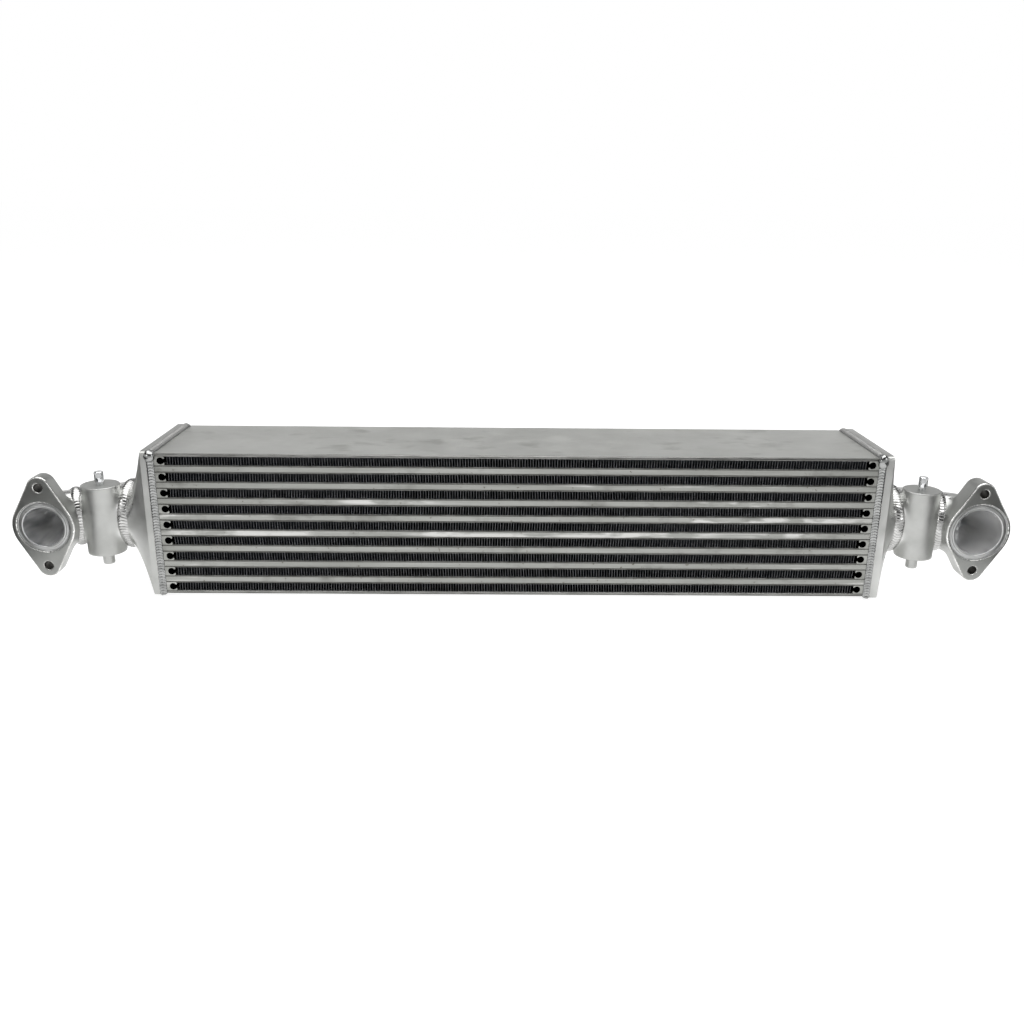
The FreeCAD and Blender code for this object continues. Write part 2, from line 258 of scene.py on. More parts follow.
CORE_LOW = box_mm("bottom_plate")[0]
CORE_HIGH = box_mm("top_plate")[1]
MID_HEIGHT = CORE_HIGH[2] / 2
AMBIENT_ROWS = sum(name.startswith("ambient_fin_") for name in frame["nodes"])
CHARGE_ROWS = AMBIENT_ROWS - 1
MOUNTS = {mount["name"]: mount for mount in frame["record"]["mounts"]}


def smooth_min(a, b, reach):
    """The lesser of two fields, rounded where they are closer than reach."""
    blend = np.maximum(reach - np.abs(a - b), 0) / reach
    return np.minimum(a, b) - blend**2 * reach / 4


def smooth_max(a, b, reach):
    """The greater of two fields, rounded where they are closer than reach."""
    return -smooth_min(-a, -b, reach)


def tube_field(p, points, radius):
    """Distance from a round bar that follows straight runs between the points."""
    nearest = None
    for start, end in zip(points, points[1:]):
        run = end - start
        along = np.clip(((p - start) @ run) / (run @ run), 0, 1)
        away = np.linalg.norm(p - start - along[..., None] * run, axis=-1)
        nearest = away if nearest is None else np.minimum(nearest, away)
    return nearest - radius


def gradient(field, p, step=0.01):
    """Slope of a field at each point."""
    slopes = []
    for axis in range(3):
        shift = np.zeros(3)
        shift[axis] = step
        slopes.append((field(p + shift) - field(p - shift)) / (2 * step))
    return np.stack(slopes, -1)


def onto_surface(field, p, rounds, limit):
    """Points moved along the slope until the field is zero there."""
    for _ in range(rounds):
        slope = gradient(field, p)
        size = np.maximum((slope**2).sum(-1), 0.05)
        move = -(field(p) / size)[:, None] * slope
        length = np.maximum(np.linalg.norm(move, axis=1), 1e-9)
        p = p + move * np.minimum(1, limit / length)[:, None]
    return p


def mesh_of_field(field, low, high, step):
    """Points and quads of the closed surface where a field is zero, inside being negative."""
    axes = [np.arange(low[i], high[i] + step, step) for i in range(3)]
    inside = field(np.stack(np.meshgrid(*axes, indexing="ij"), -1)) < 0
    count = np.zeros([n - 1 for n in inside.shape], int)
    x, y, z = count.shape
    for dx, dy, dz in np.ndindex(2, 2, 2):
        count += inside[dx : dx + x, dy : dy + y, dz : dz + z]
    crossed = (count > 0) & (count < 8)
    index = np.full(crossed.shape, -1)
    index[crossed] = np.arange(crossed.sum())
    points = np.argwhere(crossed) * step + np.array(low) + step / 2
    quads = []
    for axis in range(3):
        order = (axis, (axis + 1) % 3, (axis + 2) % 3)
        here, cells = inside.transpose(order), index.transpose(order)
        change = here[:-1, 1:-1, 1:-1] != here[1:, 1:-1, 1:-1]
        i, j, k = np.nonzero(change)
        ring = [cells[i, j, k], cells[i, j + 1, k], cells[i, j + 1, k + 1], cells[i, j, k + 1]]
        quad = np.stack(ring, 1)
        leaving = here[i, j + 1, k + 1]
        quad[~leaving] = quad[~leaving][:, ::-1]
        quads.append(quad)
    quads = np.concatenate(quads)
    points = onto_surface(field, points, 5, step / 2)
    for _ in range(3):
        total = np.zeros_like(points)
        times = np.zeros(len(points))
        for a, b in ((0, 1), (1, 0), (1, 2), (2, 1), (2, 3), (3, 2), (3, 0), (0, 3)):
            np.add.at(total, quads[:, a], points[quads[:, b]])
            np.add.at(times, quads[:, a], 1)
        points = points + 0.5 * (total / times[:, None] - points)
        points = onto_surface(field, points, 3, step / 2)
    return points, quads


def add_object(name, data):
    """A new object in the scene."""
    thing = bpy.data.objects.new(name, data)
    bpy.context.scene.collection.objects.link(thing)
    return thing


def make_piece(name, points, faces, stands_for=(), smooth=True):
    """A piece of the object from points in millimetres."""
    mesh = bpy.data.meshes.new(name)
    corners = [[int(corner) for corner in face] for face in faces]
    mesh.from_pydata((np.asarray(points) * MM).tolist(), [], corners)
    mesh.validate()
    mesh.update()
    if smooth:
        mesh.polygons.foreach_set("use_smooth", [True] * len(mesh.polygons))
    return adopt(add_object(name, mesh), stands_for)


def face_outwards(piece, weld=False):
    """Turns all faces outwards, and joins points that lie in one place where asked."""
    work = bmesh.new()
    work.from_mesh(piece.data)
    if weld:
        bmesh.ops.remove_doubles(work, verts=work.verts, dist=1e-6)
    bmesh.ops.recalc_face_normals(work, faces=work.faces)
    work.to_mesh(piece.data)
    work.free()


def mark(piece, name, values):
    """A value at each point of a piece, which its material reads."""
    layer = piece.data.attributes.new(name, "FLOAT", "POINT")
    layer.data.foreach_set("value", np.asarray(values, float).tolist())


def brushed_and_highlighted(from_weld, points):
    """How bright the metal is brushed near a weld, kept to above and below the duct's middle as a painted
    highlight.
    """
    off_middle = np.abs(points[:, 2] - MID_HEIGHT)
    near = np.exp(-((from_weld / POLISH_AND_HIGHLIGHT_REACH) ** 2))
    return near * np.clip((off_middle - HIGHLIGHT_START) / HIGHLIGHT_FADE, 0, 1)


def adopt(piece, stands_for=()):
    """Ties a piece to the body, and hides the nodes that it stands for."""
    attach(piece, "root")
    if stands_for:
        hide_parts(*stands_for)
    return piece


def grid_faces(rows, columns, closed=False):
    """Quads of points stored row by row; each row is a ring, and the rows are one where closed."""
    faces = []
    for i in range(rows if closed else rows - 1):
        for j in range(columns):
            a, b = i * columns + j, i * columns + (j + 1) % columns
            c = ((i + 1) % rows) * columns + (j + 1) % columns
            d = ((i + 1) % rows) * columns + j
            faces.append((a, b, c, d))
    return faces


def close_bevelled(work, mesh, edges, width, degrees):
    """Rounds edges of an opened mesh and writes it back, with turns over some degrees sharp."""
    bmesh.ops.bevel(
        work, geom=edges, offset=width * MM, segments=2, affect="EDGES", clamp_overlap=True
    )
    bmesh.ops.recalc_face_normals(work, faces=work.faces)
    work.to_mesh(mesh)
    work.free()
    mesh.polygons.foreach_set("use_smooth", [True] * len(mesh.polygons))
    mesh.set_sharp_from_angle(angle=math.radians(degrees))


def softened(node, width):
    """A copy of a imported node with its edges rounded."""
    mesh = frame["nodes"][node].data.copy()
    mesh.name = node + "_piece"
    piece = add_object(node + "_piece", mesh)
    work = bmesh.new()
    work.from_mesh(mesh)
    bmesh.ops.remove_doubles(work, verts=work.verts, dist=1e-6)
    bmesh.ops.dissolve_limit(work, angle_limit=0.01, verts=work.verts, edges=work.edges)
    sharp = [e for e in work.edges if len(e.link_faces) == 2 and e.calc_face_angle() > 0.3]
    close_bevelled(work, mesh, sharp, width, 40)
    return adopt(piece, [node])


def make_fin(row, chance):
    """Corrugated fin of one ambient row, with rounded crests and uneven walls."""
    node = "ambient_fin_%d" % row
    low, high = box_mm(node)
    waves = round((high[0] - low[0]) / FIN_PERIOD)
    step = (high[0] - low[0]) / waves
    line = []
    drift = 0.0
    bottom, top = low[2], high[2]
    for wave in range(waves):
        drift = FIN_DRIFT_KEPT * drift + chance.gauss(0, FIN_DRIFT)
        for half in (0, 1):
            slant = FIN_SLANT * math.sin(FIN_SLANT_WAVE * wave + row)
            slant += chance.gauss(0, FIN_UNEVENNESS)
            wall = low[0] + (wave + 0.25 + half / 2) * step + drift
            foot_x, head_x = wall - slant / 2, wall + slant / 2
            foot, head = (foot_x, bottom + FIN_TURN_RISE), (head_x, top - FIN_TURN_RISE)
            foot_z, head_z = bottom + FIN_TURN_GAP, top - FIN_TURN_GAP
            if half == 0:
                line += [(foot_x - FIN_TURN_RUN, foot_z), foot, head, (head_x + FIN_TURN_RUN, head_z)]
            else:
                line += [(head_x - FIN_TURN_RUN, head_z), head, foot, (foot_x + FIN_TURN_RUN, foot_z)]
    line = np.array(line)
    line[:, 0] = np.clip(line[:, 0], low[0], high[0])
    ahead = np.gradient(line, axis=0)
    ahead /= np.maximum(np.linalg.norm(ahead, axis=1), 1e-9)[:, None]
    across = np.stack([-ahead[:, 1], ahead[:, 0]], 1) * FIN_GAUGE / 2
    front, back = low[1] + FIN_RECESS, high[1] - FIN_RECESS
    loops = []
    for side, y in ((1, front), (-1, front), (-1, back), (1, back)):
        profile = line + side * across
        profile[:, 1] = np.clip(profile[:, 1], bottom, top)
        loops.append(np.stack([profile[:, 0], np.full(len(line), y), profile[:, 1]], 1))
    points = np.stack(loops, 1).reshape(-1, 3)
    faces = grid_faces(len(line), 4)
    faces += [(0, 1, 2, 3), tuple(len(points) - 4 + i for i in (3, 2, 1, 0))]
    return make_piece("fin_%d" % row, points, faces, [node], smooth=False)


def make_end_bars(row):
    """The two keyhole end bars of one ambient row."""
    node = "end_bars_%d" % row
    low, high = box_mm(node)
    middle, half = (low[2] + high[2]) / 2, (high[2] - low[2]) / 2
    slot, lip, tip = KEYHOLE_SLOT / 2, BAR_TIP_RADIUS, END_BAR_WIDTH
    start = math.atan2(slot, math.sqrt(KEYHOLE_RADIUS**2 - slot**2))
    outline = []
    for i in range(KEYHOLE_POINTS + 1):
        angle = start + (FULL_TURN - 2 * start) * i / KEYHOLE_POINTS
        x, z = KEYHOLE_RADIUS * math.cos(angle), KEYHOLE_RADIUS * math.sin(angle)
        outline.append((KEYHOLE_INSET + x, z))
    turns = [math.pi / 2 * i / BAR_TIP_POINTS for i in range(BAR_TIP_POINTS + 1)]
    turns = [(lip * math.cos(angle), lip * math.sin(angle)) for angle in turns]
    for side in (-1, 1):
        arm = [(tip - lip + b, slot + lip - a) for a, b in turns]
        arm += [(tip - lip + a, half - lip + b) for a, b in turns]
        arm = [(x, side * z) for x, z in arm + [(0, half)]]
        outline += arm if side < 0 else arm[::-1]
    count = len(outline)
    shell = grid_faces(2, count)
    shell += [tuple(range(count - 1, -1, -1)), tuple(range(count, 2 * count))]
    points, faces = [], []
    for side, end in ((-1, low[0]), (1, high[0])):
        faces += [[len(points) + i for i in face] for face in shell]
        for y in (low[1], high[1]):
            points += [(end - side * inset, y, middle + z) for inset, z in outline]
    piece = make_piece("end_bars_%d_piece" % row, points, faces, [node])
    work = bmesh.new()
    work.from_mesh(piece.data)
    bmesh.ops.recalc_face_normals(work, faces=work.faces)
    shared = [edge for edge in work.edges if len(edge.link_faces) == 2]
    rims = [edge for edge in shared if max(len(face.verts) for face in edge.link_faces) > 4]
    close_bevelled(work, piece.data, rims, END_BAR_EDGE, 50)
    return piece


def rounded_ring(x, half_y, half_z, corner, centre_y):
    """Points of a rounded rectangle across X, evenly spaced on its sides and corners."""
    points = []
    for quarter, (side_y, side_z) in enumerate([(1, 1), (-1, 1), (-1, -1), (1, -1)]):
        middle_y = centre_y + side_y * (half_y - corner)
        middle_z = MID_HEIGHT + side_z * (half_z - corner)
        for i in range(TANK_ARC_STEPS + 1):
            angle = math.pi / 2 * (quarter + i / TANK_ARC_STEPS)
            y = middle_y + corner * math.cos(angle)
            points.append((x, y, middle_z + corner * math.sin(angle)))
        last, way = np.array(points[-1]), np.zeros(3)
        if quarter in (0, 2):
            way[1] = -side_y * 2 * (half_y - corner)
        else:
            way[2] = -side_z * 2 * (half_z - corner)
        for i in range(1, TANK_SIDE_STEPS):
            points.append(tuple(last + way * i / TANK_SIDE_STEPS))
    return points


def make_tank(end, side):
    """Hollow hopper: a straight skirt, then sides that sweep in to a round neck."""
    node = end + "_tank"
    low, high = box_mm(node)
    core_x = CORE_HIGH[0]
    neck_x = high[0] if side > 0 else -low[0]
    skirt = SKIRTS[end]
    rim_x = core_x + skirt
    run = neck_x - rim_x
    rings = []
    for wall in (0.0, TANK_WALL):
        half_y = CORE_HIGH[1] + TANK_LAP - wall
        half_z = MID_HEIGHT + TANK_LAP - wall
        radius = TANK_NECK_RADIUS - wall
        stations = [(core_x, 0.0), (core_x + skirt / 2, 0.0), (rim_x - SKIRT_FOLD, 0.0)]
        for i in range(TANK_STEPS + 1):
            t = (i / TANK_STEPS) ** TANK_STEP_CROWDING
            stations.append((rim_x + t * run, 1 - (1 - t) ** TANK_CURVES[end]))
        loops = []
        for x, drawn in stations:
            y = half_y + (radius - half_y) * drawn
            z = half_z + (radius - half_z) * drawn
            corner = TANK_CORNER + (radius - TANK_CORNER) * drawn ** TANK_CORNER_CURVES[end]
            corner = min(max(corner - wall * (drawn == 0), TANK_LEAST_CORNER), y, z)
            loops.append(rounded_ring(x, y, z, corner, TANK_NECK_Y * drawn))
        rings += loops if wall == 0 else loops[::-1]
    count = len(rings[0])
    points = np.array(rings).reshape(-1, 3)
    points[:, 0] *= side
    faces = grid_faces(len(rings), count, closed=True)
    if side > 0:
        faces = [face[::-1] for face in faces]
    piece = make_piece(end + "_tank_shell", points, faces, [node])
    mark(piece, "polish", brushed_and_highlighted(neck_x - np.abs(points[:, 0]), points))
    piece.data.set_sharp_from_angle(angle=math.radians(50))
    return piece


def ripple_height(phase, across):
    """Sawtooth crescents that trail towards the sides of a bead."""
    place = (phase + RIPPLE_CURVE * across**2) % 1.0
    fall = (place - RIPPLE_CREST) / (1 - RIPPLE_CREST)
    return place**RIPPLE_RISE * (1 - np.clip(fall, 0, 1))


def measured(path):
    """Distance of each point of a closed path from its first one, and the whole length."""
    hops = np.linalg.norm(np.roll(path, -1, axis=0) - path, axis=1)
    return np.concatenate([[0], np.cumsum(hops)[:-1]]), hops.sum()


def sweep_bead(name, path, outward, sideways, width, proud, rise, lumps, chance, stands_for=()):
    """A stacked bead along a closed path of points with their outward directions."""
    count = len(path)
    columns = np.linspace(-1, 1, BEAD_COLUMNS)
    along, total = measured(path)
    ripples = round(total / RIPPLE)
    phase = along / total * ripples
    number = np.floor(phase).astype(int)
    sizes = np.array([1 + chance.gauss(0, RIPPLE_UNEVENNESS) for _ in range(ripples + 2)])
    shifts = np.array([chance.gauss(0, RIPPLE_WANDER) for _ in range(ripples + 2)])
    crown = proud * (1 - np.abs(columns) ** CROWN_FLATNESS) ** CROWN_FULLNESS
    taper = (1 - columns**2) ** RIPPLE_TAPER
    rim = RIM_SHADE_TONE * np.clip((np.abs(columns) - RIM_SHADE_START) / (1 - RIM_SHADE_START), 0, 1)
    points, tones = [], []
    for i in range(count):
        size = sizes[number[i]]
        lump = sum(math.exp(-((along[i] - at) ** 2) / (2 * reach**2)) for at, reach in lumps)
        calm = min(lump, 1)
        half = width / 2 * (1 + WIDTH_UNEVENNESS * (size - 1) + LUMP_WIDENING * lump)
        depth = RIPPLE_DEPTH * size * (1 - LUMP_SMOOTHING * calm)
        wave = ripple_height(phase[i], columns) * taper
        edge = 1 + EDGE_SCALLOP * (ripple_height(phase[i], np.ones(1))[0] - 0.5)
        height = crown * (1 + LUMP_RAISING * lump) - depth * (1 - wave)
        base = rise * (columns + 1) / 2
        side = columns * half * edge + shifts[number[i]] * WANDER_SHARE
        up = base + np.maximum(height, -BEAD_DIP)
        row = path[i] + np.outer(up, outward[i]) + np.outer(side, sideways[i])
        points += row.tolist()
        # Painted shade: the grooves between ripples and the bead's sides are darkened, and the two root
        # points of each row are darkest.
        spot = (phase[i] + RIPPLE_CURVE * columns**2) % 1.0
        groove = np.exp(-((np.minimum(spot, 1 - spot) / GROOVE_SHADE_REACH) ** 2))
        groove = groove * (1 - LUMP_BRIGHTENING * calm)
        tone = np.maximum(GROOVE_SHADE_TONE * groove, rim) - TONE_UNEVENNESS * (size - 1)
        tones += tone.tolist() + [1.0, 1.0]
        for s, u in ((BEAD_ROOT_WIDTH, rise - BEAD_ROOT_DEPTH), (-BEAD_ROOT_WIDTH, -BEAD_FOOT_DEPTH)):
            points.append((path[i] + u * outward[i] + s * half * sideways[i]).tolist())
    faces = grid_faces(count, len(columns) + 2, closed=True)
    piece = make_piece(name, points, faces, stands_for)
    mark(piece, "groove", tones)
    face_outwards(piece)
    return piece


def make_tank_bead(end, side, chance):
    """Weld bead between the core and a tank, all round."""
    corner = TANK_BEAD_CORNER
    inset = corner - TANK_BEAD_SINK
    half = np.array([CORE_HIGH[1] + inset, MID_HEIGHT + inset])
    run_y, run_z = 2 * (half - corner)
    arc = corner * math.pi / 2
    total = 4 * arc + 2 * run_y + 2 * run_z
    count = int(total / (RIPPLE / RIPPLE_SAMPLES))
    crest, normals = [], []
    for i in range(count):
        s = i * total / count
        for quarter in range(4):
            run = (run_z, run_y)[quarter % 2]
            if s < run + arc:
                break
            s -= run + arc
        facing = -math.pi / 2 * quarter - math.pi
        direction = facing - max(s - run, 0) / corner
        normal = np.array([math.cos(direction), math.sin(direction)])
        ahead = np.array([math.sin(facing), -math.cos(facing)])
        signs = np.sign([math.cos(facing - math.pi / 4), math.sin(facing - math.pi / 4)])
        crest.append(signs * (half - corner) + normal * corner - ahead * max(run - s, 0))
        normals.append(normal)
    crest, normals = np.array(crest), np.array(normals)
    base = crest - normals * inset
    centre_x = side * (CORE_HIGH[0] - TANK_BEAD_LAP + TANK_BEAD_WIDTH / 2)
    path = np.stack([np.full(count, centre_x), base[:, 0], base[:, 1] + MID_HEIGHT], 1)
    outward = np.stack([np.zeros(count), normals[:, 0], normals[:, 1]], 1)
    sideways = np.tile([side * 1.0, 0, 0], (count, 1))
    front_top = np.argmin(np.linalg.norm(crest - half * [-1, 1], axis=1))
    lumps = [(measured(path)[0][front_top] - LUMP_SETBACK, LUMP_SPREAD)]
    piece = sweep_bead(
        end + "_tank_bead", path, outward, sideways, TANK_BEAD_WIDTH, TANK_BEAD_PROUD,
        TANK_LAP, lumps, chance, [end + "_tank_weld"],
    )
    lump_z = CORE_HIGH[2] - LUMPS[end][2] / 2 - LUMP_DROP
    lump_place = np.array([centre_x, CORE_LOW[1] - LUMP_PROUD, lump_z])
    add_lump(piece, lump_place, LUMPS[end], chance)
    lighten_top(piece)
    return piece


def rows_of(items, name, width=3):
    """One property of all points or faces of a mesh, a row for each."""
    values = np.zeros(len(items) * width)
    items.foreach_get(name, values)
    return values.reshape(-1, width)


def lighten_top(piece):
    """Less painted groove shade along the top of a long bead, which is smoother there."""
    places = rows_of(piece.data.vertices, "co") / MM
    layer = piece.data.attributes["groove"].data
    groove_shades = rows_of(layer, "value", 1)[:, 0]
    top = np.clip(places[:, 2] - CORE_HIGH[2], 0, 1)
    top = top * np.clip((places[:, 1] - CORE_LOW[1] - TOP_START) / TOP_FADE, 0, 1)
    layer.foreach_set("value", (groove_shades * (1 - (1 - TOP_GROOVE_KEPT) * top)).tolist())
    mark(piece, "top", top)


def add_lump(piece, centre, reach, chance):
    """Joins the lump of metal where a bead was ended to the bead's mesh."""
    work = bmesh.new()
    work.from_mesh(piece.data)
    layer = work.verts.layers.float.get("groove")
    made = bmesh.ops.create_icosphere(work, subdivisions=4, radius=1.0)
    reaches = (-LUMP_WAVE_REACH, LUMP_WAVE_REACH)
    waves = [[chance.uniform(*reaches) for _ in range(4)] for _ in range(LUMP_WAVES)]
    for vert in made["verts"]:
        x, y, z = vert.co
        swell = sum(math.sin(a * x + b * y + c * z + d) for a, b, c, d in waves)
        spot = np.array(vert.co) * np.array(reach) * (1 + LUMP_SWELL * swell)
        vert.co = (spot + centre) * MM
        vert[layer] = 0.0
    for face in {face for vert in made["verts"] for face in vert.link_faces}:
        face.smooth = True
    work.to_mesh(piece.data)
    work.free()


def make_round_bead(name, centre, axis, radius, chance):
    """Weld bead round a pipe joint."""
    axis = axis / np.linalg.norm(axis)
    up = np.array([0, 0, 1.0])
    level = np.cross(up, axis)
    level /= np.linalg.norm(level)
    count = int(FULL_TURN * (radius + 1) / RIPPLE * RIPPLE_SAMPLES)
    angles = np.arange(count) / count * FULL_TURN
    outward = np.cos(angles)[:, None] * level + np.sin(angles)[:, None] * up
    path = centre + outward * (radius - ROUND_BEAD_SINK)
    sideways = np.tile(axis, (count, 1))
    return sweep_bead(
        name, path, outward, sideways, ROUND_BEAD_WIDTH, ROUND_BEAD_PROUD, 0.0, [], chance
    )


class Layout:
    """Where the pieces of one end stand, in millimetres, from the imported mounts."""

    def __init__(self, end, side):
        port, pin = MOUNTS[end + "_port"], MOUNTS[end + "_top_pin"]
        bolts = MOUNTS[end + "_port_bolts"]
        self.side = side
        self.bore = port["dims"]["r_mm"]
        self.port = np.array(bolts["pos_m"]) / MM
        self.bolt_reach = bolts["dims"]["pcd_mm"] / 2
        self.bolt_radius = bolts["dims"]["hole_r_mm"]
        pin_place = np.array(pin["pos_m"]) / MM
        self.pin_radius = pin["dims"]["r_mm"]
        self.pin_length = pin["dims"]["length_mm"]
        self.pin_base = pin_place - [0, 0, self.pin_length / 2]
        low_pin = MOUNTS[end + "_bottom_pin"]
        self.low_pin_radius = low_pin["dims"]["r_mm"]
        self.low_pin_length = low_pin["dims"]["length_mm"]
        self.post = self.pin_base - [0, 0, POST_HALF_HEIGHT]
        self.neck = np.array([self.post[0] - side * POST_TO_NECK, TANK_NECK_Y, MID_HEIGHT])
        self.bend_start = self.port + [0, PORT_STRAIGHT, 0]
        self.bend_centre = self.bend_start - [side * BEND_RADIUS, 0, 0]
        self.bend_angle = BEND_ANGLES[end]
        self.seam = self.on_bend(self.bend_angle)
        turn = math.radians(self.bend_angle)
        self.seam_axis = np.array([-side * math.sin(turn), math.cos(turn), 0])
        self.pipe = self.bore + PORT_WALLS[end]
        self.flange = FLANGES[end]
        self.face_radius = self.bore + PORT_LIP + GROOVE_WIDTH + SEAL_LANDS[end]

    def on_bend(self, degrees):
        """Point on the middle line of the port's bend."""
        turn = math.radians(degrees)
        return self.bend_centre + BEND_RADIUS * np.array(
            [self.side * math.cos(turn), math.sin(turn), 0]
        )


def duct_field(p, start, end, start_radius, end_radius):
    """Distance from a round taper between two points, open-ended."""
    axis = end - start
    length = np.linalg.norm(axis)
    axis = axis / length
    along = (p - start) @ axis
    away = np.linalg.norm(p - start - along[..., None] * axis, axis=-1)
    return away - (start_radius + (end_radius - start_radius) * along / length)


def make_mount_body(end, place):
    """Post across the duct, with soft cast fillets, machined ends and the lower pin."""
    top = place.post[2] + POST_HALF_HEIGHT
    bottom = place.post[2] - POST_HALF_HEIGHT

    def field(p):
        x, y, z = p[..., 0], p[..., 1], p[..., 2]
        radial = np.hypot(x - place.post[0], y - place.post[1])
        neck_radius, seam_radius = TANK_NECK_RADIUS - NECK_UNDERSIZE, place.pipe - SEAM_UNDERSIZE
        duct = duct_field(p, place.neck, place.seam, neck_radius, seam_radius)
        body = smooth_min(radial - POST_RADIUS, duct, FILLET)
        body = np.where(z > top + 1, z - top, body)
        post_end = np.maximum(z - top, bottom - z)
        body = smooth_max(body, post_end, MACHINED_EDGE)
        pin_end = bottom - place.low_pin_length - z
        pin = smooth_max(radial - place.low_pin_radius, pin_end, LOW_PIN_EDGE)
        pin = np.maximum(pin, z - bottom - LOW_PIN_ROOT)
        body = smooth_min(body, pin, LOW_PIN_FILLET)
        neck_plane = place.side * (place.neck[0] - x)
        seam_plane = -((p - place.seam) @ place.seam_axis)
        body = smooth_max(body, smooth_max(neck_plane, seam_plane, SEAM_EDGE), SEAM_EDGE)
        flow = duct_field(p, place.neck, place.seam, TANK_NECK_RADIUS - TANK_WALL, place.bore)
        return smooth_max(body, -flow, 0.6)

    low, high = box_mm(end + "_mount_body")
    points, quads = mesh_of_field(field, low - MESH_ROOM, high + MESH_ROOM, MOUNT_MESH)
    piece = make_piece(end + "_mount", points, quads, [end + "_mount_body"])
    to_neck = np.abs(points[:, 0] - place.neck[0])
    to_seam = np.abs((points - place.seam) @ place.seam_axis)
    off_post = np.hypot(points[:, 0] - place.post[0], points[:, 1] - place.post[1]) - POST_RADIUS
    near = brushed_and_highlighted(np.minimum(to_neck, to_seam), points)
    mark(piece, "polish", near * np.clip(off_post / 2, 0, 1))
    return piece


def flange_field(p, place):
    """Distance from the two-lug outline, seen along Y."""
    x = np.abs(p[..., 0] - place.port[0])
    z = np.abs(p[..., 2] - place.port[2])
    slope = (place.face_radius - LUG_RADIUS) / place.bolt_reach
    level = math.sqrt(1 - slope**2)
    turned = -slope * x + level * z
    flank = level * x + slope * z - place.face_radius
    middle = np.hypot(x, z) - place.face_radius
    lug = np.hypot(x, z - place.bolt_reach) - LUG_RADIUS
    return np.where(turned < 0, middle, np.where(turned > level * place.bolt_reach, lug, flank))


def make_port_elbow(end, place):
    """Cast elbow with its machined two-bolt face, bore, seal groove and bolt holes."""
    face = place.port[1]
    ends = [place.port - [0, 20, 0], place.bend_start, place.on_bend(place.bend_angle / 2)]
    bore_line = ends + [place.seam, place.seam + place.seam_axis * 20]

    def field(p):
        x, y, z = p[..., 0], p[..., 1], p[..., 2]
        plate = smooth_max(flange_field(p, place), y - face - place.flange, FLANGE_BACK_EDGE)
        out = (x - place.bend_centre[0]) * place.side
        deep = y - place.bend_centre[1]
        bend = np.hypot(np.where(deep < 0, out, np.hypot(out, deep)) - BEND_RADIUS, z - MID_HEIGHT)
        pipe = np.maximum(bend - place.pipe, -out)
        body = smooth_min(plate, pipe, FLANGE_FILLET)
        body = smooth_max(body, (p - place.seam) @ place.seam_axis, SEAM_EDGE)
        rim = (flange_field(p, place) + face - y + FLANGE_CHAMFER) * math.sqrt(0.5)
        body = smooth_max(np.maximum(body, rim), face - y, FACE_EDGE)
        bore = tube_field(p, bore_line, place.bore)
        body = smooth_max(body, -bore, BORE_EDGE)
        away = np.hypot(x - place.port[0], z - place.port[2])
        ring_middle = place.bore + PORT_LIP + GROOVE_WIDTH / 2
        groove = np.maximum(np.abs(away - ring_middle) - GROOVE_WIDTH / 2, y - face - GROOVE_DEPTH)
        body = smooth_max(body, -groove, FACE_EDGE)
        bolt = np.hypot(x - place.port[0], np.abs(z - place.port[2]) - place.bolt_reach)
        return smooth_max(body, place.bolt_radius - bolt, BORE_EDGE)

    low, high = box_mm(end + "_port_elbow")
    points, quads = mesh_of_field(field, low - MESH_ROOM, high + MESH_ROOM, ELBOW_MESH)
    piece = make_piece(end + "_elbow", points, quads, [end + "_port_elbow"])
    to_seam = np.abs((points - place.seam) @ place.seam_axis)
    behind = np.clip((points[:, 1] - face - place.flange) / 2, 0, 1)
    mark(piece, "polish", brushed_and_highlighted(to_seam, points) * behind)
    return piece


def make_top_pins(places):
    """Turned and polished locating pins with a bevelled tip and a relieved foot."""
    points, faces = [], []
    for place in places:
        r, tall = place.pin_radius, place.pin_length
        neck, shoulder = r - PIN_RELIEF, r - PIN_STEP
        low, middle, high = PIN_FOOT
        profile = [(0.0, -PIN_SHANK), (neck, -PIN_SHANK), (neck, low), (shoulder, middle)]
        low, middle, top = tall - PIN_BEVEL, tall - PIN_TIP, tall
        profile += [(r, high), (r, low), (shoulder, middle), (neck, top), (0.0, top)]
        ring = grid_faces(len(profile), PIN_SIDES)
        faces += [tuple(len(points) + i for i in face) for face in ring]
        for radius, z in profile:
            for i in range(PIN_SIDES):
                angle = FULL_TURN * i / PIN_SIDES
                offset = np.array([radius * math.cos(angle), radius * math.sin(angle), z])
                points.append(place.pin_base + offset)
    piece = make_piece("locating_pins", points, faces, ["top_pins"])
    face_outwards(piece, weld=True)
    piece.data.set_sharp_from_angle(angle=math.radians(30))
    return piece


class NodeTree:
    """The nodes of a material or a world, put together a step at a time."""

    def __init__(self, owner):
        owner.use_nodes = True
        self.nodes = owner.node_tree.nodes
        self.link = owner.node_tree.links.new

    def node(self, kind, inputs=(), **settings):
        """A new node; its inputs are numbers, colours or outputs of other nodes."""
        node = self.nodes.new("ShaderNode" + kind)
        for name, value in settings.items():
            setattr(node, name, value)
        for name, value in dict(inputs).items():
            socket = node.inputs[name]
            if isinstance(value, bpy.types.NodeSocket):
                self.link(value, socket)
            else:
                socket.default_value = (*value, 1) if socket.type == "RGBA" else value
        return node

    def ranged(self, value, low, high, out_low=0.0, out_high=1.0):
        """A value spread from one range to another, and kept inside it."""
        spans = {"From Min": low, "From Max": high, "To Min": out_low, "To Max": out_high}
        return self.node("MapRange", {"Value": value, **spans}).outputs["Result"]

    def math(self, operation, first, second):
        """One sum of two values."""
        return self.node("Math", {0: first, 1: second}, operation=operation).outputs["Value"]

    def plain_rays(self):
        """1 for rays from the camera and for mirrored and refracted ones."""
        path = self.node("LightPath").outputs
        seen = self.math("MAXIMUM", path["Is Camera Ray"], path["Is Glossy Ray"])
        return self.math("MAXIMUM", seen, path["Is Transmission Ray"])


